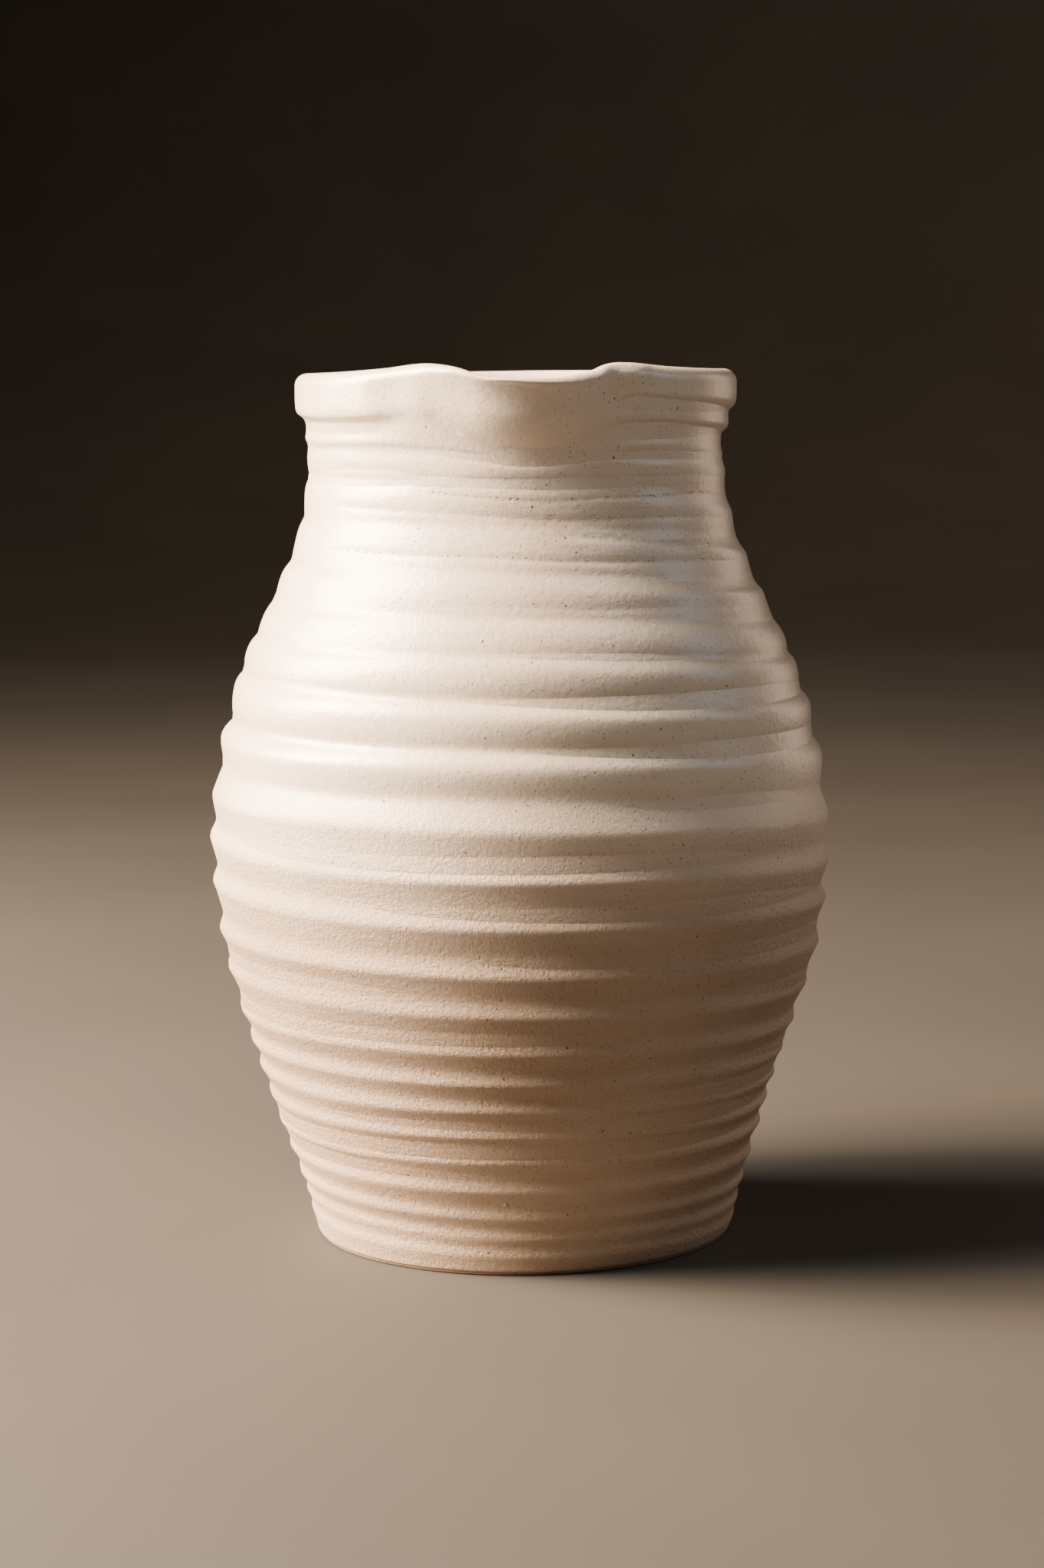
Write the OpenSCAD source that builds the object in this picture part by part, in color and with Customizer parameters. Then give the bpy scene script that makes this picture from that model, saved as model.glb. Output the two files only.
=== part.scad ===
// Stoneware pottery vase: a wheel-thrown jar with a full belly, a waisted neck, a rolled
// rim and a small pouring lip that is pulled out of the rim at the front.
// The origin is the centre of the foot, on the table. +Z is up and the lip faces -Y.
// Outside sizes are those of the glazed surface, and the clay lies one glaze coat inside it.

/* [Body outline] */
// Height of the rolled rim above the table
rim_z = 280; // [270:1:290]
// Radius of the foot where it meets the table
foot_r = 66.5; // [62:0.5:70]
// Radius of the belly at its widest, midway between ridge and groove
belly_r = 99.8; // [92:0.2:104]
// Height of the widest point of the belly
belly_z = 130; // [120:1:138]
// Radius of the neck at its narrowest, midway between ridge and groove
neck_r = 66.6; // [62:0.2:70]
// Height of the narrowest point of the neck
neck_z = 252; // [246:1:254]

/* [Rolled rim] */
// Largest radius of the roll
rim_r = 70.8; // [69:0.2:73]
// Thickness of the roll from inside to outside
roll_t = 8; // [7:0.5:9]
// Height of the roll, from the groove under it to its top
roll_h = 12.6; // [11:0.2:14]

/* [Wall and floor] */
// Thickness of the wall, glaze included
wall_t = 6; // [5:0.5:7.5]
// Extra thickness of the wall low down, where it turns into the floor
wall_base_extra = 2.5; // [0:0.5:4]
// Thickness of the floor above the foot recess
floor_t = 9; // [7:0.5:12]
// Depth of the shallow recess that is turned into the underside
recess_depth = 2; // [1:0.5:4]
// Width of the bare foot ring, from the recess to the outside of the foot
foot_ring_w = 9; // [7:0.5:14]

/* [Throwing ridges] */
// Size of the finger ridges: 0 is a smooth wall and 1 is their full depth
ridge_size = 1; // [0:0.1:1.3]

/* [Pouring lip] */
// Direction of the lip, turned from -Y towards +X, in degrees
lip_turn = 5; // [-20:1:20]
// How far the lip reaches out past the roll
lip_reach = 11; // [8:0.5:14]
// How far the two corners of the lip rise above the rim
lip_rise = 2.8; // [1:0.2:4]
// How far the middle of the lip dips below the rim
lip_dip = 3; // [1:0.5:5]
// Thickness of the lip
lip_t = 5.5; // [5:0.5:6.5]

/* [Glaze] */
// Thickness of the glaze coats
glaze_t = 0.45; // [0.3:0.05:0.8]
// Height of the lower edge of the outer glaze, wiped back from the foot
glaze_start_z = 1; // [0.6:0.2:5]
// How far the outer glaze runs down inside the mouth before the liner takes over
glaze_overlap = 12; // [8:1:16]

/* [Hidden] */
$fn = 128;

clay_colour = [0.60, 0.47, 0.36];
glaze_colour = [0.87, 0.82, 0.74];
liner_colour = [0.84, 0.79, 0.71];

above = 12;
arc_step = 15;
foot_round = 2;
floor_round = 12;
floor_z = recess_depth + floor_t;
recess_r = foot_r - foot_ring_w;
groove_z = rim_z - roll_h;
groove_r = rim_r - 3.4;
roll_r = roll_t / 2;
roll_mid_r = rim_r - roll_r;
roll_mid_z = rim_z - roll_r;

// Share of the swell from foot to belly, against the share of the belly's height
lower_swell = [[0, 0], [0.15, 0.18], [0.46, 0.565], [0.73, 0.885], [1, 1]];
// Share of the swell that is left, against the share of the way from belly to neck
upper_swell = [[0.29, 0.86], [0.49, 0.64], [0.66, 0.345], [0.82, 0.105], [1, 0]];
outline = concat(
    [for (p = lower_swell) [p[0] * belly_z, foot_r + p[1] * (belly_r - foot_r)]],
    [for (p = upper_swell) [belly_z + p[0] * (neck_z - belly_z), neck_r + p[1] * (belly_r - neck_r)]],
    [[groove_z, groove_r]]
);

// Height of a ridge's crest as a share of the rim's height, against the ridge's number
ridge_heights = [
    [0, 0], [4, 0.102], [7, 0.197], [9, 0.266], [11, 0.356], [14, 0.504],
    [16, 0.629], [18, 0.714], [20, 0.804], [22, 0.891], [24, 0.955]
];
ridge_count = 24;
points_per_ridge = 6;
// Half the depth of the ridges in mm, against the share of the rim's height
ridge_depths = [
    [0, 0], [0.02, 0.1], [0.05, 0.3], [0.14, 0.55], [0.27, 0.42], [0.36, 0.65], [0.46, 0.9],
    [0.54, 1.15], [0.62, 1.2], [0.68, 0.75], [0.74, 0.4], [0.89, 0.45], [0.955, 0.15]
];

// Pouring lip: a tip and two corners at the rim, and a throat down in the neck
lip_corner_turn = 28;
lip_corner_ball = 20;
lip_corner_r = rim_r - lip_corner_ball;
lip_tip_ball = 18;
lip_tip_r = rim_r + lip_reach - lip_tip_ball;
lip_upright_z = rim_z - 7;
lip_throat_z = neck_z;
lip_throat_r = neck_r - 1 - lip_tip_ball;
lip_half_w = rim_r * sin(lip_corner_turn);
lip_slope_w = 12;
lip_steps = 8;
lip_fn = 32;

// Smooth curve through a list of [x, y] points, in the order of x
function span_at(points, x, i = 0) =
    i >= len(points) - 2 || x < points[i + 1][0] ? i : span_at(points, x, i + 1);
function slope_at(points, i) =
    let (a = points[max(i - 1, 0)], b = points[min(i + 1, len(points) - 1)])
    (b[1] - a[1]) / (b[0] - a[0]);
function curve_at(points, x) =
    let (
        i = span_at(points, x),
        a = points[i],
        b = points[i + 1],
        w = b[0] - a[0],
        t = (x - a[0]) / w
    )
    a[1] * (1 + 2 * t) * (1 - t) * (1 - t)
    + b[1] * (3 - 2 * t) * t * t
    + w * t * (1 - t) * (slope_at(points, i) * (1 - t) - slope_at(points, i + 1) * t);

// Radius of the wall midway between ridge and groove, and half the depth of a ridge
function wall_r(z) = curve_at(outline, z);
function ridge_depth(z) = ridge_size * lookup(z / rim_z, ridge_depths);

// Outside of the vessel as turned on the wheel, a skin's thickness under the glaze
function foot_edge(skin) = [
    for (a = [0 : arc_step : 90 - arc_step])
    [wall_r(foot_round) - skin - foot_round * (1 - sin(a)), foot_round * (1 - cos(a))]
];
function ridged_wall(skin) = [
    for (n = [1 : ridge_count * points_per_ridge])
    let (z = rim_z * lookup(n / points_per_ridge, ridge_heights))
    if (z > foot_round && z < groove_z - 1)
    [wall_r(z) - skin + ridge_depth(z) * cos(360 * n / points_per_ridge), z]
];
function roll_side(skin) = [
    for (t = [0 : 0.25 : 0.75])
    [groove_r - skin + (rim_r - groove_r) * sin(90 * t), groove_z + (roll_mid_z - groove_z) * t]
];
function roll_arc(skin, from, to) = [
    for (a = [from : arc_step : to])
    [roll_mid_r + (roll_r - skin) * cos(a), roll_mid_z + (roll_r - skin) * sin(a)]
];
function outside(skin) = concat(
    [[0, 0]], foot_edge(skin), ridged_wall(skin), roll_side(skin), roll_arc(skin, 0, 90),
    [[0, rim_z - skin]]
);

// Inside of the vessel, which is smooth, grown by the same skin
function bore_r(z) =
    wall_r(z) - wall_t - wall_base_extra * max(0, 1 - (z - floor_z) / (belly_z - floor_z));
function floor_corner(skin) = [
    for (a = [0 : arc_step : 90 - arc_step])
    [
        bore_r(floor_z + floor_round) - floor_round + (floor_round + skin) * sin(a),
        floor_z + floor_round - (floor_round + skin) * cos(a)
    ]
];
function bore_wall(skin) = [
    for (z = [floor_z + floor_round : 8 : neck_z])
    [bore_r(z) + skin, z]
];
function inside(skin) = concat(
    [[0, floor_z - skin]], floor_corner(skin), bore_wall(skin),
    [for (a = [180 : -arc_step : 90 + arc_step]) roll_arc(skin, a, a)[0]],
    [[roll_mid_r + skin, rim_z - skin], [roll_mid_r + skin, rim_z + above], [0, rim_z + above]]
);

// Outline of the lip in plan, grown or shrunk, which slopes back into the throat below
module lip_form(grow, top_z) {
    rotate(lip_turn)
    hull() {
        translate([0, -lip_tip_r, lip_upright_z])
        cylinder(r = lip_tip_ball + grow, h = top_z - lip_upright_z, $fn = lip_fn);
        for (side = [-1, 1])
        rotate(side * lip_corner_turn)
        translate([0, -lip_corner_r, lip_upright_z])
        cylinder(r = lip_corner_ball + grow, h = top_z - lip_upright_z, $fn = lip_fn);
        translate([0, -lip_throat_r, lip_throat_z])
        sphere(r = lip_tip_ball + grow, $fn = lip_fn);
    }
}

// The lip's edge as seen from the front: a dip between two corners that sink into the roll
module lip_edge(skin) {
    dip = [
        for (n = [-lip_steps : lip_steps])
        let (share = (1 + cos(180 * n / lip_steps)) / 2)
        [lip_half_w * n / lip_steps, lip_rise - (lip_rise + lip_dip) * share]
    ];
    slope = [
        for (n = [2 : 2 : lip_steps])
        let (share = (1 - cos(180 * n / lip_steps)) / 2)
        [lip_half_w + lip_slope_w * n / lip_steps, lip_rise - (lip_rise + roll_r) * share]
    ];
    side = belly_r;
    rotate(lip_turn)
    translate([0, 0, rim_z - skin])
    rotate([90, 0, 0])
    linear_extrude(height = side)
    polygon(concat(
        [[-side, -rim_z / 2], [-side, -roll_r]],
        [for (n = [len(slope) - 1 : -1 : 0]) [-slope[n][0], slope[n][1]]],
        dip, slope,
        [[side, -roll_r], [side, -rim_z / 2]]
    ));
}

// All that is empty in the mouth, the lip's channel and the body
module hollow(skin) {
    rotate_extrude()
    polygon(inside(skin));
    lip_form(skin - lip_t, rim_z + above);
}

// The whole pot, a skin's thickness under the glazed surface
module pot(skin) {
    difference() {
        union() {
            rotate_extrude()
            polygon(outside(skin));
            intersection() {
                lip_form(-skin, rim_z + lip_rise + 1);
                lip_edge(skin);
            }
        }
        hollow(skin);
    }
}

// One coat of glaze all over the pot above the wiped foot
module glaze_coat() {
    difference() {
        pot(0);
        pot(glaze_t);
        translate([0, 0, -above])
        cylinder(r = belly_r + above, h = above + glaze_start_z);
    }
}

// The part of the coat that lines the inside, below the overlap in the mouth
module liner_zone() {
    intersection() {
        hollow(wall_t / 2);
        translate([0, 0, glaze_start_z])
        cylinder(r = belly_r, h = rim_z - glaze_overlap - glaze_start_z);
    }
}

// Fired stoneware: floor, wall, rolled rim and pulled lip are one piece of clay
module clay_body() {
    color(clay_colour)
    difference() {
        pot(glaze_t);
        translate([0, 0, -above])
        cylinder(r = recess_r, h = above + recess_depth);
    }
}

// Cream glaze on the outside, over the rim and a little way down inside it
module outer_glaze() {
    color(glaze_colour)
    difference() {
        glaze_coat();
        liner_zone();
    }
}

// Cream glaze that seals the inside, from the floor up to the overlap
module liner_glaze() {
    color(liner_colour)
    intersection() {
        glaze_coat();
        liner_zone();
    }
}

clay_body();
outer_glaze();
liner_glaze();
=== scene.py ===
"""Looks of the stoneware pottery vase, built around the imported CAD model.

The pot is one section line, turned round the Z axis and then worked as a potter works it:
a spiral of finger ridges, a slight wobble, and a lip pulled out of the rim. The clay body
and the two coats of glaze are cut from that one surface, so that they fit each other.
Shape work is in millimetres and degrees. Angle 0 is the front, -Y, and grows towards +X.
"""
import math

import bpy
import numpy as np
from mathutils import Matrix, Vector


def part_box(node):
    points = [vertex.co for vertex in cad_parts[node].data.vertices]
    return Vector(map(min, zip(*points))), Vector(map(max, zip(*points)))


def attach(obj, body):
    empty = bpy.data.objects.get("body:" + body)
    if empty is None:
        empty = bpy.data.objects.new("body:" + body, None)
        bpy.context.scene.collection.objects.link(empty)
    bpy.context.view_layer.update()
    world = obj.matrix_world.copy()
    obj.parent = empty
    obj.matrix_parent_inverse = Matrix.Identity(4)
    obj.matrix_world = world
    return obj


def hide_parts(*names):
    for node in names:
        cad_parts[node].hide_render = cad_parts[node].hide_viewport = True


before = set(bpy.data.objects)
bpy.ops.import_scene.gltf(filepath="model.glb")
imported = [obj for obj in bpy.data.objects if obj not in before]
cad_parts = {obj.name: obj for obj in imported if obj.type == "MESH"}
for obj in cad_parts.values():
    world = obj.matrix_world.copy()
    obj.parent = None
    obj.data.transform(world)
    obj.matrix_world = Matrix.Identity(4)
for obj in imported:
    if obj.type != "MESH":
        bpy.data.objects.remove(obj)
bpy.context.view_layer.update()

MM = 0.001

# How far the lip's corners stand over the rim, and the belly's crests out from the wall
LIP_RISE = 2.8
CREST_STAND = 0.95

# Sizes worked out from the CAD model's own nodes
glaze_low, glaze_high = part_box("outer_glaze")
liner_low, liner_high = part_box("liner_glaze")
clay_low, clay_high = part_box("clay_body")
GLAZE_T = (glaze_high.z - clay_high.z) / MM
GLAZE_START = glaze_low.z / MM
RIM_Z = glaze_high.z / MM - LIP_RISE
BELLY_R = glaze_high.x / MM - CREST_STAND
OVERLAP_Z = liner_high.z / MM
FLOOR_Z = liner_low.z / MM + GLAZE_T

# The foot and the underside, with the radii of the rings on the flat of the foot
FOOT_R = 66.5
FOOT_ROUND = 1.3
FOOT_FLAT = (60, 62, 63.5)
RECESS_R = 57.5
RECESS_DEPTH = 2.0
RECESS_ROUND = 0.8
TURNING_PITCH = 4.2
TURNING_DEPTH = 0.12

# The wall, the neck and the rolled rim, which the wall runs into from ROLL_START to ROLL_END
WALL_T = 6.0
WALL_BASE_EXTRA = 2.5
FLOOR_ROUND = 12.0
BELLY_Z = 130.0
NECK_R = 66.6
NECK_Z = 252.0
RIM_R = 70.8
ROLL_R = 4.0
UNDER_ROLL_R = 67.0
ROLL_START, ROLL_END = 262, 272
BORE_R = RIM_R - 2 * ROLL_R

# Fineness of the section line: degrees in its arcs and mm along its stretches. Its slope is
# taken over SLOPE_REACH each way.
ARC_STEP = 6
OUTSIDE_STEP = 0.4
INSIDE_STEP = 1.0
FLOOR_STEP = 2.0
SLOPE_REACH = 0.6

# The wall's radius midway between ridge and groove, as [height, radius]
LOWER_SWELL = [(0, 0), (0.15, 0.18), (0.46, 0.565), (0.73, 0.885), (1, 1)]
UPPER_SWELL = [(0.29, 0.86), (0.49, 0.64), (0.66, 0.345), (0.82, 0.105), (1, 0)]
WALL = [(h * BELLY_Z, FOOT_R + s * (BELLY_R - FOOT_R)) for h, s in LOWER_SWELL]
WALL += [
    (BELLY_Z + h * (NECK_Z - BELLY_Z), NECK_R + s * (BELLY_R - NECK_R))
    for h, s in UPPER_SWELL
]
WALL += [(262.0, 66.9), (270.0, 67.4)]

# How far the rolled rim's flank stands out from the neck: [height, out]
FLANK_PLAIN = [(255, 0), (259, 0.4), (264, 1.2), (270, 2.8), (276, 3.8)]
FLANK_LEFT = [
    (255, 0), (258, 0.35), (259.5, 0.75), (262.3, 0.35), (263.8, 0.4), (265, 0.8),
    (266, 1.45), (266.8, 2.35), (267.6, 3.1), (268.6, 3.5), (270.5, 3.75), (276, 3.8),
]
FLANK_RIGHT = [
    (248, 0), (251, -0.5), (253.5, -0.1), (256, -0.7), (258.5, -0.9), (259.7, -0.6),
    (260.7, 0.3), (261.6, 1.1), (263, 1.35), (265.5, 1.2), (266.6, 1.35), (267.4, 1.9),
    (268.3, 2.8), (269.3, 3.4), (271, 3.75), (276, 3.8),
]
# Rise of the flank's grooves round the pot: [turn, rise]
FLANK_RISE = [
    (-180, 0), (-110, -0.3), (-88, 0), (-60, -0.8), (-35, -0.5), (0, 1.2), (40, 2.9),
    (60, 1.7), (88, 0), (110, -1.5), (180, 0),
]

# Crests of the ridges, counted from the foot: [number, height at the left, front and right].
# 14.5 is the groove over crest 14, which lies higher than halfway.
RIDGE_CRESTS = [
    (1, 8.5, 6.5, 4.5), (3, 21.5, 19.2, 17), (5, 39, 38.3, 36), (7, 57, 55.5, 52),
    (9, 76.5, 74.4, 70.5), (10, 90, 86.4, 82), (11, 102.5, 99.2, 95), (12, 117, 114.2, 109),
    (13, 131.5, 128.4, 123), (14, 145, 143, 137), (14.5, 156.7, 154.3, 147.4),
    (15, 164, 161.5, 156), (16, 180, 176.2, 171.5), (17, 192.5, 190.7, 185),
    (18, 203.5, 201.2, 195), (19, 216, 214, 208), (20, 229, 228.2, 221),
    (21, 242.5, 241.5, 235), (22, 253.5, 252.4, 248.5), (23, 262, 260, 262),
    (25, 280, 280, 280),
]
# Half the depth of the ridges: [height, depth]
RIDGE_DEPTH = [
    (0, 0), (4, 0.2), (14, 0.42), (28, 0.6), (40, 0.74), (60, 0.74), (76, 0.76), (90, 0.9),
    (105, 1.05), (125, 1.15), (150, 1.22), (172, 1.28), (182, 1.0), (192, 0.6), (205, 0.45),
    (214, 0.52), (240, 0.5), (252, 0.42), (262, 0), (290, 0),
]
# How far the ridges and grooves of the neck sag below the lip
LIP_SAG = 6.5

# Thin grooves of the neck: [depth, rustiness, [turn, height], ...]
NECK_GROOVES = [
    (0.32, 0.15, [
        (-80, 256.5), (-38, 257.8), (-5, 253.4), (5, 252.8), (25, 254), (38, 254.3), (80, 251.6),
    ]),
    (0.24, 0.3, [
        (-80, 250), (-40, 250.8), (-20, 248), (0, 246.7), (20, 247.6), (40, 248), (80, 246.5),
    ]),
    (0.2, 1, [(-32, 244.6), (-8, 242.4), (10, 241), (35, 241.6), (75, 241)]),
    (0.26, 0.35, [(-60, 239.2), (-25, 238), (-5, 236.1), (15, 234.9), (36, 235), (75, 233.8)]),
    (0.22, 0.6, [(6, 230.2), (30, 228.2), (75, 226.6)]),
    (0.28, 0.8, [(-60, 226), (-20, 224.8), (8, 223.2), (35, 221.8), (75, 219.8)]),
    (0.14, 0.15, [(-25, 210.6), (5, 209.2), (35, 208), (75, 206)]),
]
GROOVE_WIDTH = 1.1
# Degrees over which a groove fades out at each end, and the distance that counts as no groove near
GROOVE_FADE = 14
NO_GROOVE = 9.0

# The lip's edge: [turn, rise above the rim]
LIP_EDGE = [
    (-180, 0), (-90, 0), (-55, 0.2), (-37, 1.3), (-24, 2.75), (-16, 1.6), (-9, -1.1),
    (-1, -1.9), (5, -2.2), (9, -2.1), (14, -1.5), (20, 0), (24, 1.7), (28.5, 2.3),
    (45, 1.0), (70, 0.1), (90, 0), (180, 0),
]
LIP_TURN = 5.0
LIP_REACH = 11.0
LIP_HALF_TURN = 37.0
# The lip's reach, up the neck, as a share of its full reach at the edge: [height, share]
LIP_BULGE = [
    (238, 0), (250, 0.04), (255.6, 0.08), (256.6, 0.12), (258, 0.2), (260, 0.3), (264, 0.45),
    (268, 0.6), (272, 0.75), (276, 0.89), (279, 0.97), (281, 1),
]
# How high the lip's lower edge climbs at LIP_CLIMB_TURN degrees to each side of its middle
LIP_CLIMB = 6.0
LIP_CLIMB_TURN = 20
# How far the lip's nose leans to the left of its middle, as a share of its half width
LIP_LEAN = 0.22
# How much of the roll the lip's pull takes away, inside and outside
LIP_THIN_INSIDE = 1.8
LIP_THIN_OUTSIDE = 2.2

# Finger marks where the lip was held, by their turns and depths, and a run of glaze in the right one
PINCH_Z = 272
LEFT_PINCH_TURN = -33
LEFT_PINCH = 0.8
RIGHT_PINCH_TURN = 22
RIGHT_PINCH = 0.9
RUN_TURN = 20.5
RUN_Z = 269
RUN_STAND = 0.8
RUN_MM_PER_DEGREE = 1.25

# Unevenness of a pot made by hand, in mm, with the depth of the ridges inside
LEFT_FULLNESS = 0.9
FOOT_SPREAD = 1.1
RIM_TILT = 0.15
WOBBLE = 0.12
INNER_RIDGE = 0.35

# The meshes are finer between these turns, for the lip, and above this height, for the neck
FINE_START, FINE_END = -46, 54
FINE_Z = 198
# Radius of the innermost ring of the floor and the underside, which a point closes
CAP_R = 1.0
# Distance from a glaze coat's edge over which it gets thinner
GLAZE_EDGE = 1.0


def curve(points, x):
    """Smooth curve through [x, y] points, with no overshoot at a flat stretch's ends."""
    xs, ys = np.array(points, float).T
    steps = np.diff(ys) / np.diff(xs)
    slopes = np.concatenate([[steps[0]], (steps[1:] + steps[:-1]) / 2, [steps[-1]]])
    slopes[1:-1][steps[1:] * steps[:-1] <= 0] = 0
    x = np.clip(x, xs[0], xs[-1])
    i = np.clip(np.searchsorted(xs, x, side="right") - 1, 0, len(xs) - 2)
    w = xs[i + 1] - xs[i]
    t = (x - xs[i]) / w
    return (
        ys[i] * (1 + 2 * t) * (1 - t) ** 2
        + ys[i + 1] * (3 - 2 * t) * t**2
        + w * t * (1 - t) * (slopes[i] * (1 - t) - slopes[i + 1] * t)
    )


def step(x, start, end):
    """0 before start, 1 after end, and smooth between."""
    t = np.clip((x - start) / (end - start), 0, 1)
    return t * t * (3 - 2 * t)


def bell(x, centre, half_width):
    """1 at centre, 0 beyond half_width from it, and smooth between."""
    t = np.clip((x - centre) / half_width, -1, 1)
    return (1 + np.cos(np.pi * t)) / 2


def waves(seed, turn, z, lobes, pitch, count=14):
    """Smooth random field of about unit size: at most lobes waves round the pot, pitch mm up it."""
    rng = np.random.default_rng(seed)
    total = np.zeros(np.broadcast(turn, z).shape)
    for _ in range(count):
        k = rng.integers(-lobes, lobes + 1)
        f = rng.normal() / pitch
        phase = rng.uniform(0, 2 * np.pi)
        total += np.cos(np.radians(turn) * k + 2 * np.pi * f * z + phase)
    return total * math.sqrt(2 / count)


def section():
    """The glazed section from the foot's outer edge, over the rim, to the middle of the floor.

    Returns radius, height, outside (1 outside, 0 inside) and distance along the line."""
    a = np.radians(np.arange(0, 90, ARC_STEP))
    foot_r = curve(WALL, FOOT_ROUND)
    foot = [foot_r - FOOT_ROUND * (1 - np.sin(a)), FOOT_ROUND * (1 - np.cos(a))]
    z = np.arange(FOOT_ROUND, RIM_Z - ROLL_R, OUTSIDE_STEP)
    to_roll = step(z, ROLL_START, ROLL_END)
    wall_r = curve(WALL, z) * (1 - to_roll) + UNDER_ROLL_R * to_roll + curve(FLANK_PLAIN, z)
    wall = [wall_r, z]
    a = np.radians(np.arange(0, 181, ARC_STEP))
    roll = [RIM_R - ROLL_R + ROLL_R * np.cos(a), RIM_Z - ROLL_R + ROLL_R * np.sin(a)]
    z = np.arange(RIM_Z - ROLL_R - INSIDE_STEP, FLOOR_Z + FLOOR_ROUND, -INSIDE_STEP)
    thick = WALL_T + WALL_BASE_EXTRA * np.clip(1 - (z - FLOOR_Z) / (BELLY_Z - FLOOR_Z), 0, 1)
    into_roll = step(z, NECK_Z, RIM_Z - ROLL_R)
    inside_r = (curve(WALL, z) - thick) * (1 - into_roll) + BORE_R * into_roll
    inside = [inside_r, z]
    a = np.radians(np.arange(90, -1, -ARC_STEP))
    corner = [
        inside_r[-1] - FLOOR_ROUND + FLOOR_ROUND * np.sin(a),
        FLOOR_Z + FLOOR_ROUND - FLOOR_ROUND * np.cos(a),
    ]
    r = np.arange(corner[0][-1] - FLOOR_STEP, 0, -FLOOR_STEP)
    floor = [np.append(r, 0), np.full(len(r) + 1, FLOOR_Z)]
    parts = [foot, wall, roll, inside, corner, floor]
    r = np.concatenate([p[0] for p in parts])
    z = np.concatenate([p[1] for p in parts])
    top = len(foot[0]) + len(wall[0])
    outside = np.zeros(len(r))
    outside[:top] = 1
    outside[top : top + len(roll[0])] = step(roll[0], BORE_R, RIM_R)
    along = np.concatenate([[0], np.cumsum(np.hypot(np.diff(r), np.diff(z)))])
    return r, z, outside, along


SECTION_R, SECTION_Z, SECTION_OUT, SECTION_S = section()


def section_at(s):
    """Point, outward normal and outside weight of the section, s mm along it."""
    r, z, out = (np.interp(s, SECTION_S, v) for v in (SECTION_R, SECTION_Z, SECTION_OUT))
    ahead = np.minimum(s + SLOPE_REACH, SECTION_S[-1])
    behind = np.maximum(s - SLOPE_REACH, 0)
    dr = np.interp(ahead, SECTION_S, SECTION_R) - np.interp(behind, SECTION_S, SECTION_R)
    dz = np.interp(ahead, SECTION_S, SECTION_Z) - np.interp(behind, SECTION_S, SECTION_Z)
    length = np.hypot(dr, dz)
    return r, z, dz / length, -dr / length, out


def s_outside(z):
    """Distance along the section to height z on the outside."""
    n = int(np.argmax(SECTION_Z))
    return float(np.interp(z, SECTION_Z[:n], SECTION_S[:n]))


def s_inside(z):
    """Distance along the section to height z on the inside."""
    n = int(np.argmax(SECTION_Z))
    last = int(np.argmin(SECTION_Z[n:])) + n
    return float(np.interp(-z, -SECTION_Z[n : last + 1], SECTION_S[n : last + 1]))


def side_shares(turn):
    """Shares of the left, front, right and back at a turn; they add to 1."""
    across, ahead = np.sin(np.radians(turn)), np.cos(np.radians(turn))
    return [np.maximum(v, 0) ** 2 for v in (-across, ahead, across, -ahead)]


def ridge_phase(turn, z):
    """Number of the ridge at a point: whole on a crest and a half off in a groove."""
    z = z + LIP_SAG * step(z, 238, 268) * bell(turn, LIP_TURN, 34)
    left = curve([(0, 0.25)] + [(row[1], row[0] + 0.25) for row in RIDGE_CRESTS], z)
    front = curve([(0, 0)] + [(row[2], row[0]) for row in RIDGE_CRESTS], z)
    right = curve([(0, 0)] + [(row[3], row[0] - 0.25) for row in RIDGE_CRESTS], z)
    shares = side_shares(turn)
    number = sum(a * b for a, b in zip(shares, (left, front, right, (left + right) / 2)))
    uneven = 0.008 + 0.014 * step(z, 60, 120)
    return number + turn / 360 + uneven * waves(3, turn, z, 3, 60)


def ridge_fade(turn, z):
    """Share of the ridges left: they die out in the rolled rim and under the lip."""
    return 1 - step(z, 250, 259) * bell(turn, LIP_TURN, 30) ** 0.5


def ridges(turn, z):
    """Outward shift of the outside by the finger ridges."""
    phase = ridge_phase(turn, z)
    # Each ridge is steeper above its crest than below
    phase = phase + (0.13 - 0.05 * step(z, 108, 150)) * np.sin(np.pi * phase) ** 2
    # Sharp crests between round scoops low down, and round crests with sharp grooves higher up
    scoops = 1.3 - 2 * (np.sin(np.pi * phase) ** 2 + 0.004 + 0.026 * step(z, 60, 130)) ** 0.5
    swells = 2 * (np.cos(np.pi * phase) ** 2 + 0.006) ** 0.6 - 1.27
    higher = step(z, 134, 168)
    wave = scoops * (1 - higher) + swells * higher
    # Small ridges at half the pitch on the right of the neck
    small = 0.3 * bell(turn, 75, 80) * step(z, 203, 212) * (1 - step(z, 244, 250))
    wave = wave + small * np.cos(4 * np.pi * phase)
    uneven = 0.05 + 0.07 * step(z, 60, 110)
    depth = curve(RIDGE_DEPTH, z) * (1 + uneven * waves(5, turn, z, 3, 26))
    # The neck's front was smoothed as the lip was pulled
    depth = depth * (1 - 0.42 * side_shares(turn)[1] * step(z, 186, 200))
    return depth * wave * ridge_fade(turn, z)


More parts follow.
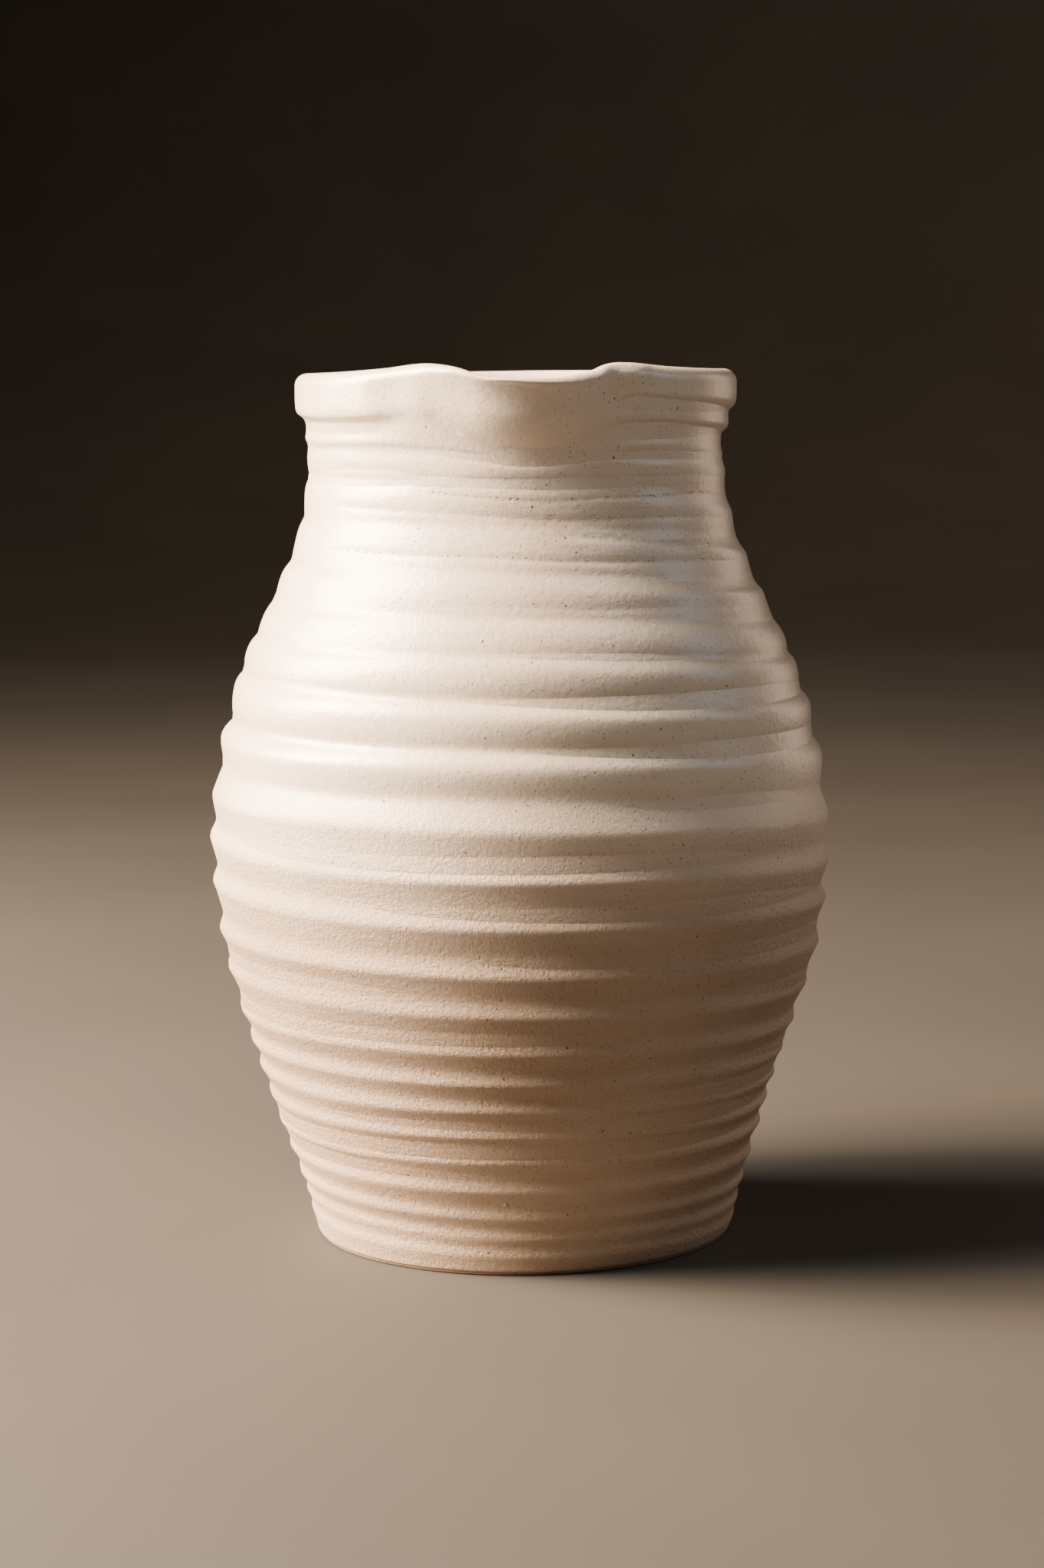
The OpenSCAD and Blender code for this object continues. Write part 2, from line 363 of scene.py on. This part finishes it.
def neck_grooves(turn, z):
    """Depth of the neck's thin grooves, the distance up from the nearest one, and its rust."""
    depth = np.zeros(np.broadcast(turn, z).shape)
    nearest = np.full(depth.shape, NO_GROOVE)
    rust = np.zeros(depth.shape)
    for full, rusty, line in NECK_GROOVES:
        first, last = line[0][0], line[-1][0]
        # Each groove wavers in its own way, with its height for a seed
        seed = int(line[0][1])
        away = z - curve(line, turn) - 0.25 * waves(seed, turn, 0 * z, 9, 60)
        fades = step(turn, first, first + GROOVE_FADE), step(turn, last - GROOVE_FADE, last)
        share = fades[0] * (1 - fades[1])
        depth += full * share * np.exp(-((away / GROOVE_WIDTH) ** 2))
        closer = (np.abs(away) < np.abs(nearest)) & (share > 0)
        nearest = np.where(closer, away, nearest)
        rust = np.where(closer, rusty * share, rust)
    return depth, nearest, rust


def rim_flank(turn, z):
    """How far the rim's flank is out from its plain shape, grooves and all."""
    z = np.broadcast_to(z, np.broadcast(turn, z).shape)
    at = z - curve(FLANK_RISE, turn) * (1 - step(z, 269, 276))
    right = step(turn, 22, 34) * (1 - step(turn, 120, 175))
    left = 1 - step(turn, -42, -25) * (1 - step(turn, 130, 178))
    plain = curve(FLANK_PLAIN, z)
    on_right = right * (curve(FLANK_RIGHT, at) - plain)
    return on_right + left * (1 - right) * (curve(FLANK_LEFT, at) - plain)


def shape(turn, s, skin):
    """Points of the pot at a turn and a distance along the section, skin mm under the glaze."""
    r, base_z, nr, nz, out = section_at(s)
    to_right, to_front = np.sin(np.radians(turn)), np.cos(np.radians(turn))
    push = (ridges(turn, base_z) - neck_grooves(turn, base_z)[0]) * out
    inner = INNER_RIDGE * np.cos(2 * np.pi * (ridge_phase(turn, base_z) + 0.3))
    push = push + inner * (1 - out) * step(base_z, 22, 40) * (1 - step(base_z, 255, 266))
    push = push + WOBBLE * waves(11, turn, base_z, 5, 40) * step(base_z, 3, 12)
    push = push + rim_flank(turn, base_z) * out
    push = push - skin
    r = r + push * nr
    z = base_z + push * nz
    # The pot is a little fuller to the left low down, and its foot spreads a touch
    r = r - LEFT_FULLNESS * to_right * bell(base_z, 55, 48)
    r = r + FOOT_SPREAD * out * (1 - step(base_z, 2, 16))
    # The roll gets thinner and its edge crisper where the lip is pulled out of it
    aside = np.clip((turn - LIP_TURN) / LIP_HALF_TURN, -1, 1)
    across = bell(aside + LIP_LEAN * (1 - aside**2), 0, 1)
    in_roll = step(base_z, ROLL_START, ROLL_END)
    r = r + across * in_roll * (LIP_THIN_INSIDE * (1 - out) - LIP_THIN_OUTSIDE * out)
    below = RIM_Z - base_z
    z = z + 0.7 * across * below * (1 - step(below, 3, 13))
    # Two finger marks. The right one leans with height, and has pushed up some clay beside it.
    pinched = bell(base_z, PINCH_Z, 11)
    r = r - LEFT_PINCH * bell(turn, LEFT_PINCH_TURN, 9) * pinched
    crease = RIGHT_PINCH_TURN + (base_z - 268) / 3
    r = r - RIGHT_PINCH * bell(turn, crease, 3.4) * pinched
    r = r + RIGHT_PINCH * bell(turn, crease + 7, 5.5) * bell(base_z, 276, 9)
    # The run of glaze is a short slanting drop
    over, up = (turn - RUN_TURN) * RUN_MM_PER_DEGREE, base_z - RUN_Z
    run = np.exp(-(((0.8 * over - 0.6 * up) / 0.9) ** 2) - ((0.6 * over + 0.8 * up) / 2.8) ** 2)
    r = r + RUN_STAND * run * out
    # The rim's edge rises to two corners, dips at the lip, and is a touch out of level
    top = step(base_z, 258, 277)
    z = z + top * curve(LIP_EDGE, turn) - RIM_TILT * top * to_right
    x = r * to_right
    y = -r * to_front
    # The lip bulges out, from lower down at its middle than at its sides
    sideways = np.clip((turn - LIP_TURN) / LIP_CLIMB_TURN, -1.3, 1.3)
    climb = LIP_CLIMB * sideways**2 * (1 - step(base_z, 263, 279))
    reach = LIP_REACH * across * curve(LIP_BULGE, base_z - climb)
    x = x + reach * math.sin(math.radians(LIP_TURN))
    y = y - reach * math.cos(math.radians(LIP_TURN))
    return np.stack(np.broadcast_arrays(x, y, z), axis=-1) * MM


def turn_stops(near, far):
    """Angles round the pot, near degrees apart at the lip and about far apart elsewhere."""
    round_end = FINE_START + 360
    fine = np.arange(FINE_START, FINE_END, near)
    wide = np.linspace(FINE_END, round_end, int((round_end - FINE_END) / far), endpoint=False)
    return np.concatenate([fine, wide])


def one_row(turns):
    """Turns as one row of a table, from -180 to 180 degrees."""
    return (turns[None, :] + 180) % 360 - 180


def rings_at(stops, skins, turns):
    """Rings of points round the pot, one at each stop along the section."""
    return shape(one_row(turns), stops[:, None], skins[:, None])


def ridge_values(stops, turns):
    """For the glaze's colour, at each point: the ridge's wave, which paints shade into its grooves,
    the distance in mm up from the nearest thin groove, and how rusty that groove is."""
    turn = one_row(turns)
    _, z, _, _, out = section_at(stops[:, None])
    fade = out * ridge_fade(turn, z)
    wave = np.cos(2 * np.pi * ridge_phase(turn, z)) * fade
    _, nearest, rust = neck_grooves(turn, z)
    return np.stack(np.broadcast_arrays(wave, nearest, rust * fade), -1).reshape(-1, 3)


def turned_object(name, rings, capped, ridge=None):
    """A smooth mesh from rings of points, with the ridge values given for each point.

    Capped rings end in a point each way. Other rings join the last one to the first."""
    count, turns = rings.shape[:2]
    points = [rings.reshape(-1, 3)]
    i = np.arange(turns)
    j = (i + 1) % turns
    faces = []
    for a in range(count - 1 if capped else count):
        b = (a + 1) % count
        faces += np.stack([a * turns + i, a * turns + j, b * turns + j, b * turns + i], 1).tolist()
    if capped:
        points += [rings[0].mean(0)[None], rings[-1].mean(0)[None]]
        first, last = count * turns, count * turns + 1
        top = (count - 1) * turns
        faces += np.stack([np.full(turns, first), j, i], 1).tolist()
        faces += np.stack([top + i, top + j, np.full(turns, last)], 1).tolist()
    mesh = bpy.data.meshes.new(name)
    mesh.from_pydata(np.concatenate(points).tolist(), [], faces)
    mesh.polygons.foreach_set("use_smooth", np.ones(len(mesh.polygons), bool))
    if ridge is not None:
        spare = len(mesh.vertices) - len(ridge)
        values = np.concatenate([ridge, np.zeros((spare, 3))]).astype(np.float32)
        attribute = mesh.attributes.new("ridge", "FLOAT_VECTOR", "POINT")
        attribute.data.foreach_set("vector", values.ravel())
    mesh.update()
    obj = bpy.data.objects.new(name, mesh)
    bpy.context.scene.collection.objects.link(obj)
    return obj


def edge_share(gap):
    """Share of the full glaze thickness, gap mm from the coat's edge: the edge is a quarter-round."""
    return np.sqrt(1 - np.clip(1 - gap / GLAZE_EDGE, 0, 1) ** 2)


def make_outer_glaze():
    """The coat outside, over the rim and a little way down inside, closed all round."""
    start, end = s_outside(GLAZE_START), s_inside(OVERLAP_Z)
    # Rings lie closest on the neck and over the rim, and at the coat's two edges
    neck, over_rim = s_outside(FINE_Z), s_outside(RIM_Z - 0.2) + 2 * ROLL_R
    face = np.concatenate([
        start + np.array([0, 0.12, 0.4, 0.9]),
        np.linspace(start + 1.6, neck, 156, endpoint=False),
        np.linspace(neck, over_rim, 128, endpoint=False),
        np.linspace(over_rim, end - 1.2, 10),
        end - np.array([0.8, 0.4, 0.12, 0]),
    ])
    hidden = np.linspace(end, start, 40)[1:-1]
    turns = turn_stops(0.8, 1.6)
    stops = np.concatenate([face, hidden])
    thin = 1 - edge_share(np.minimum(face - start, end - face))
    rings = rings_at(stops, np.concatenate([GLAZE_T * thin, np.full(len(hidden), GLAZE_T)]), turns)
    return turned_object("outer_glaze_coat", rings, False, ridge_values(stops, turns))


def make_liner_glaze():
    """The coat inside: up its hidden side from the floor to the overlap, and down its face."""
    start, end = s_inside(OVERLAP_Z), SECTION_S[-1] - CAP_R
    hidden = np.linspace(end, start, 60)[:-1]
    face = np.linspace(start, end, 190)
    turns = turn_stops(1.0, 1.6)
    stops = np.concatenate([hidden, face])
    thin = 1 - edge_share(face - start)
    rings = rings_at(stops, np.concatenate([np.full(len(hidden), GLAZE_T), GLAZE_T * thin]), turns)
    return turned_object("liner_glaze_coat", rings, True, ridge_values(stops, turns))


def underside_rings(turns):
    """The underside, from its middle out over the foot ring: a recess with faint turning marks."""
    marked_r = np.arange(CAP_R, RECESS_R - 2.5, 1.2)
    marks = np.cos(2 * np.pi * marked_r / TURNING_PITCH)
    marked_z = RECESS_DEPTH - TURNING_DEPTH - TURNING_DEPTH * marks
    corner_r = [RECESS_R - 1.4, RECESS_R - 0.9]
    corner_z = [RECESS_DEPTH - 0.15, RECESS_DEPTH - 0.5]
    a = np.radians(np.arange(0, 91, 22.5))
    edge_r, edge_z = RECESS_R - RECESS_ROUND * np.cos(a), RECESS_ROUND * (1 - np.sin(a))
    r = np.concatenate([marked_r, corner_r, edge_r, FOOT_FLAT])[:, None]
    z = np.concatenate([marked_z, corner_z, edge_z, np.zeros(len(FOOT_FLAT))])[:, None]
    turn = np.radians(turns)[None, :]
    x = r * np.sin(turn)
    y = -r * np.cos(turn)
    return np.stack(np.broadcast_arrays(x, y, z), -1) * MM


def make_clay():
    """The clay body: bare underside and foot, and the surfaces that the glazes lie on."""
    foot = np.linspace(0, 4, 10)
    rest = np.linspace(5.5, SECTION_S[-1] - CAP_R, 230)
    stops = np.concatenate([foot, rest])
    turns = turn_stops(1.0, 1.6)
    body = rings_at(stops, GLAZE_T * step(stops, 0, s_outside(GLAZE_START)), turns)
    rings = np.concatenate([underside_rings(turns), body])
    return turned_object("stoneware_body", rings, True)


# ---------------------------------------------------------------- materials


CREAM = (0.82, 0.71, 0.60, 1)
# Colour of the outer glaze low down: its warmer tone, darkened partly as painted shade
LOW_CREAM_AND_SHADE = (0.56, 0.39, 0.265, 1)
LINER_CREAM = (0.76, 0.63, 0.49, 1)
LINER_WARM = (0.72, 0.56, 0.41, 1)
SANDY_GRAIN = (0.40, 0.25, 0.15, 1)
# Painted shade for the grooves between the ridges
GROOVE_SHADE_BROWN = (0.46, 0.30, 0.18, 1)
RUST_STAIN = (0.42, 0.24, 0.12, 1)
RUST_PIT = (0.15, 0.075, 0.04, 1)
IRON_SPECK = (0.085, 0.045, 0.028, 1)
CRUMB_CREAM = (0.8, 0.7, 0.58, 1)
BARE_CLAY = (0.42, 0.29, 0.19, 1)
TOASTED_CLAY = (0.30, 0.175, 0.10, 1)
GROG = (0.55, 0.43, 0.31, 1)
CLAY_SPECK = (0.05, 0.03, 0.02, 1)
FLOOR_DARK = (0.041, 0.037, 0.034, 1)
FLOOR_LIGHT = (0.047, 0.043, 0.039, 1)
# Heights in mm between which the glaze turns from dry, warm and dark to glossy and pale; the darkness
# low down is partly painted shade
DRY_Z, GLOSSY_Z = 95, 165
# Place in mm of the one bit of kiln grit stuck low on the front
KILN_GRIT = (-5.8, -73.6, 24.0)


class Shader:
    """A material's node tree, with short calls to add and join its nodes."""

    def __init__(self, name):
        self.material = bpy.data.materials.new(name)
        self.material.use_nodes = True
        self.tree = self.material.node_tree
        self.surface = self.tree.nodes["Principled BSDF"]

    def add(self, kind, inputs=(), **settings):
        node = self.tree.nodes.new("ShaderNode" + kind)
        for key, value in settings.items():
            setattr(node, key, value)
        for key, value in dict(inputs).items():
            self.put(node.inputs[key], value)
        return node

    def put(self, socket, value):
        if isinstance(value, bpy.types.NodeSocket):
            self.tree.links.new(value, socket)
        else:
            socket.default_value = value

    def math(self, operation, a, b=0.0):
        return self.add("Math", {0: a, 1: b}, operation=operation).outputs[0]

    def span(self, value, low, high, to_low=0.0, to_high=1.0):
        """value's span from low to high, spread smoothly over to_low to to_high."""
        inputs = {"Value": value, 1: low, 2: high, 3: to_low, 4: to_high}
        return self.add("MapRange", inputs, interpolation_type="SMOOTHSTEP").outputs[0]

    def noise(self, place, scale, detail=2.0, rough=0.5):
        inputs = {"Vector": place, "Scale": scale, "Detail": detail, "Roughness": rough}
        return self.add("TexNoise", inputs).outputs["Fac"]

    def mix(self, factor, a, b):
        """Colour a, turned into colour b by the factor."""
        node = self.add("Mix", data_type="RGBA")
        for socket, value in ((node.inputs[0], factor), (node.inputs[6], a), (node.inputs[7], b)):
            self.put(socket, value)
        return node.outputs[2]

    def bump(self, height, metres, under=None):
        """Normal raised by the height times so many metres, on top of the normal under it."""
        inputs = {"Strength": 1.0, "Distance": metres, "Height": height}
        if under is not None:
            inputs["Normal"] = under
        return self.add("Bump", inputs).outputs[0]

    def place(self, stretch=(1, 1, 1)):
        """Object coordinates in millimetres, stretched along each axis."""
        coordinates = self.add("TexCoord").outputs["Object"]
        scale = [v / MM for v in stretch]
        return self.add("Mapping", {"Vector": coordinates, "Scale": scale}).outputs[0]


def specks(shader, place, cell, radius, share):
    """Mask of round specks: one in each cell of that size in mm, for that share of the cells."""
    voronoi = shader.add("TexVoronoi", {"Vector": place, "Scale": 1 / cell, "Randomness": 1.0})
    distance = shader.math("MULTIPLY", voronoi.outputs["Distance"], cell)
    colour = shader.add("SeparateColor", {0: voronoi.outputs["Color"]})
    size = shader.span(colour.outputs[0], 0, 1, 0.45 * radius, radius)
    inside = shader.math("SUBTRACT", size, distance)
    mask = shader.span(inside, -0.05, 0.07)
    chosen = shader.math("LESS_THAN", colour.outputs[1], share)
    return shader.math("MULTIPLY", mask, chosen)


def glaze_material(name, cream, warm, rough_low, rough_high):
    """Cream glaze with iron specks, rusty grooves, and a grittier, duller, warmer lower half, darker
    partly from painted shade.
    """
    sh = Shader(name)
    place = sh.place()
    height = sh.add("SeparateXYZ", {0: place}).outputs[2]
    # Wave of the ridge, which paints shade into its grooves, distance to the nearest thin groove, and
    # that groove's rust
    values = sh.add("Attribute", attribute_name="ridge").outputs["Vector"]
    ridge = sh.add("SeparateXYZ", {0: values})
    groove_shade = sh.span(ridge.outputs[0], 0.1, -1.0)
    upper = sh.span(height, DRY_Z, GLOSSY_Z)
    lower = sh.math("SUBTRACT", 1.0, upper)

    clouds = sh.span(sh.noise(place, 0.022, 4, 0.6), 0.35, 0.65)
    # Darker and warmer towards the foot; on the outer glaze this is partly its own tone and partly
    # painted shade of the lower body
    tone = sh.math("ADD", sh.math("MULTIPLY", clouds, 0.12), sh.math("MULTIPLY", lower, 0.9))
    colour = sh.mix(tone, cream, warm)
    grain = sh.span(sh.noise(place, 1.3, 3, 0.7), 0.45, 0.75)
    grain = sh.math("MULTIPLY", grain, sh.math("ADD", 0.08, sh.math("MULTIPLY", lower, 0.22)))
    colour = sh.mix(grain, colour, SANDY_GRAIN)
    # Painted shade: the grooves between the ridges are darkened towards brown
    colour = sh.mix(sh.math("MULTIPLY", groove_shade, 0.12), colour, GROOVE_SHADE_BROWN)

    # Lines of rusty pinholes along the thin grooves of the neck
    away, rust = sh.math("ABSOLUTE", ridge.outputs[1]), ridge.outputs[2]
    line = sh.math("MULTIPLY", sh.span(away, 0.9, 0.15), sh.math("ADD", rust, 0.25))
    pits = sh.span(sh.noise(place, 0.9, 2, 0.6), 0.55, 0.64)
    pits = sh.math("MULTIPLY", pits, sh.math("MULTIPLY", sh.span(away, 0.55, 0.15), rust))
    colour = sh.mix(sh.math("MULTIPLY", line, 0.25), colour, RUST_STAIN)
    colour = sh.mix(sh.math("MULTIPLY", pits, 0.7), colour, RUST_PIT)

    # Iron specks: fine ones all over, and fewer larger ones
    fine = specks(sh, place, 1.5, 0.34, 0.8)
    coarse = specks(sh, place, 5.0, 0.42, 0.75)
    dark = sh.math("MAXIMUM", sh.math("MULTIPLY", fine, 0.5), sh.math("MULTIPLY", coarse, 0.9))
    colour = sh.mix(dark, colour, IRON_SPECK)
    away = sh.add("VectorMath", {0: place, 1: KILN_GRIT}, operation="DISTANCE").outputs["Value"]
    crumb = sh.span(away, 1.1, 0.4)
    colour = sh.mix(sh.math("MULTIPLY", crumb, 0.8), colour, CRUMB_CREAM)
    sh.put(sh.surface.inputs["Base Color"], colour)

    blotch = sh.noise(place, 0.05, 3, 0.6)
    rough = sh.span(upper, 0, 1, rough_low, rough_high)
    rough = sh.math("ADD", rough, sh.math("MULTIPLY", blotch, 0.08))
    rough = sh.math("ADD", rough, sh.math("MULTIPLY", dark, 0.15))
    sh.put(sh.surface.inputs["Roughness"], rough)
    sh.surface.inputs["IOR"].default_value = 1.55
    sh.surface.inputs["Specular IOR Level"].default_value = 0.8

    # Orange peel all over, then grit and the drag of the throwing finger, mostly low down
    peel = sh.noise(place, 0.42, 2, 0.5)
    grit = sh.noise(place, 0.8, 4, 0.75)
    drag = sh.noise(sh.place((0.10, 0.10, 0.85)), 1.0, 4, 0.7)
    rub = sh.math("ADD", sh.math("MULTIPLY", drag, 0.45), sh.math("MULTIPLY", grit, 1.6))
    above_foot = sh.span(height, 25, 75, 0.35, 1.0)
    rub_share = sh.math("ADD", 0.10, sh.math("MULTIPLY", lower, above_foot))
    rub = sh.math("MULTIPLY", rub, rub_share)
    hollows = sh.math("MAXIMUM", pits, sh.math("MULTIPLY", coarse, 0.4))
    normal = sh.bump(peel, 0.00014)
    normal = sh.bump(rub, 0.0008, normal)
    normal = sh.bump(sh.math("SUBTRACT", 0.0, hollows), 0.00015, normal)
    normal = sh.bump(crumb, 0.0007, normal)
    sh.put(sh.surface.inputs["Normal"], normal)
    return sh.material


def clay_material():
    """Bare fired stoneware: warm buff, toasted in patches, with iron specks and fine grog."""
    sh = Shader("bare_stoneware")
    place = sh.place()
    toast = sh.span(sh.noise(place, 0.03, 4, 0.6), 0.3, 0.7)
    colour = sh.mix(toast, BARE_CLAY, TOASTED_CLAY)
    grain = sh.span(sh.noise(place, 1.6, 4, 0.7), 0.4, 0.7)
    colour = sh.mix(sh.math("MULTIPLY", grain, 0.3), colour, GROG)
    dark = specks(sh, place, 2.2, 0.3, 0.8)
    colour = sh.mix(sh.math("MULTIPLY", dark, 0.8), colour, CLAY_SPECK)
    sh.put(sh.surface.inputs["Base Color"], colour)
    rough = sh.span(sh.noise(place, 0.5, 3, 0.6), 0.3, 0.7, 0.78, 0.92)
    sh.put(sh.surface.inputs["Roughness"], rough)
    grit = sh.noise(place, 2.2, 4, 0.75)
    sh.put(sh.surface.inputs["Normal"], sh.bump(grit, 0.00018))
    return sh.material


def floor_material():
    """Plain studio floor, faintly uneven in tone."""
    sh = Shader("studio_floor")
    tone = sh.span(sh.noise(sh.place(), 0.004, 3, 0.5), 0.3, 0.7)
    sh.put(sh.surface.inputs["Base Color"], sh.mix(tone, FLOOR_DARK, FLOOR_LIGHT))
    sh.surface.inputs["Roughness"].default_value = 0.75
    return sh.material


# ---------------------------------------------------------------- studio


# All in metres, degrees and watts
FLOOR_FLAT = 2.4
FLOOR_RINGS = (0.05, 0.2, 0.6, 1.4)
FLOOR_T = 0.05
SWEEP_R = 1.8
POT_MIDDLE = Vector((0, 0, 0.15))
WORLD_COLOUR = (0.024, 0.018, 0.014, 1)

# Lights: [name, turn from the front, rise, distance, size, energy, colour]
LIGHTS = [
    ("key_light", -83.5, 36, 1.3, (0.55, 0.85), 147, (1.0, 0.74, 0.50)),
    ("side_light", -100, 24, 1.3, (0.55, 0.8), 76, (1.0, 0.83, 0.64)),
    ("shoulder_light", -63, 38, 1.3, (0.16, 0.45), 12, (1.0, 0.95, 0.88)),
    ("window_light", 88, 26, 1.4, (0.42, 0.55), 1.2, (0.66, 0.82, 1.0)),
    ("fill_light", 50, 47, 1.3, (0.5, 0.4), 2.8, (1.0, 0.88, 0.74)),
    ("back_light", 131, 10, 1.3, (0.4, 0.8), 2.2, (1.0, 0.68, 0.48)),
]

CAMERA_PLACE = (0.0, -1.1153, 0.2809)
CAMERA_PITCH = math.radians(6.879)
CAMERA_TURN = math.radians(0.04)
CAMERA_ROLL = math.radians(-0.63)
CAMERA_LENS = 79.1


def make_floor():
    """A plain studio floor under the pot that sweeps up all round, far away."""
    turn = np.linspace(0, 2 * np.pi, 120, endpoint=False)
    rise = np.radians(np.linspace(0, 90, 25))
    far = np.concatenate([FLOOR_RINGS, FLOOR_FLAT + SWEEP_R * np.sin(rise)])[:, None]
    high = np.concatenate([np.zeros(len(FLOOR_RINGS)), SWEEP_R * (1 - np.cos(rise))])[:, None]
    sides = []
    for drop in (FLOOR_T, 0):
        wide = far + drop
        points = wide * np.cos(turn), wide * np.sin(turn), high - drop + 0 * turn
        sides.append(np.stack(points, -1))
    under, top = sides
    floor = turned_object("studio_floor", np.concatenate([under, top[::-1]]), True)
    floor.data.materials.append(floor_material())


def soft_light(name, turn, rise, far, size, energy, colour):
    """A soft rectangular light at a turn from the front and a rise over the horizon, in degrees."""
    data = bpy.data.lights.new(name, "AREA")
    data.shape = "RECTANGLE"
    data.size, data.size_y = size
    data.energy = energy
    data.color = colour
    turn, rise = math.radians(turn), math.radians(rise)
    away = Vector((math.sin(turn) * math.cos(rise), -math.cos(turn) * math.cos(rise), math.sin(rise)))
    light = bpy.data.objects.new(name, data)
    light.location = POT_MIDDLE + far * away
    light.rotation_euler = (-away).to_track_quat("-Z", "Y").to_euler()
    bpy.context.scene.collection.objects.link(light)


def make_world():
    """The room's own faint light, from all round."""
    world = bpy.data.worlds.new("studio")
    world.use_nodes = True
    background = world.node_tree.nodes["Background"]
    background.inputs["Color"].default_value = WORLD_COLOUR
    background.inputs["Strength"].default_value = 1.0
    bpy.context.scene.world = world


def make_camera():
    """A long lens level with the rim, tipped down to the pot and rolled a little."""
    side = Vector((math.cos(CAMERA_TURN), -math.sin(CAMERA_TURN), 0))
    ahead = Vector((math.sin(CAMERA_TURN), math.cos(CAMERA_TURN), 0))
    up = Vector((0, 0, 1))
    forward = math.cos(CAMERA_PITCH) * ahead - math.sin(CAMERA_PITCH) * up
    raised = math.sin(CAMERA_PITCH) * ahead + math.cos(CAMERA_PITCH) * up
    x = math.cos(CAMERA_ROLL) * side + math.sin(CAMERA_ROLL) * raised
    y = -math.sin(CAMERA_ROLL) * side + math.cos(CAMERA_ROLL) * raised
    data = bpy.data.cameras.new("camera")
    data.lens = CAMERA_LENS
    data.sensor_width = 36
    data.clip_start, data.clip_end = 0.01, 100
    camera = bpy.data.objects.new("camera", data)
    matrix = Matrix((x, y, -forward)).transposed().to_4x4()
    matrix.translation = CAMERA_PLACE
    camera.matrix_world = matrix
    bpy.context.scene.collection.objects.link(camera)
    bpy.context.scene.camera = camera


# ---------------------------------------------------------------- the scene


make_camera()
make_floor()
make_world()
for light in LIGHTS:
    soft_light(*light)

outer = make_outer_glaze()
outer.data.materials.append(glaze_material("cream_glaze", CREAM, LOW_CREAM_AND_SHADE, 0.52, 0.16))
liner = make_liner_glaze()
liner.data.materials.append(glaze_material("liner_glaze", LINER_CREAM, LINER_WARM, 0.26, 0.2))
clay = make_clay()
clay.data.materials.append(clay_material())
for piece, node, slot in (
    (outer, "outer_glaze", "cream_glaze"),
    (liner, "liner_glaze", "liner_glaze"),
    (clay, "clay_body", "bare_stoneware"),
):
    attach(piece, "root")
    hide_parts(node)
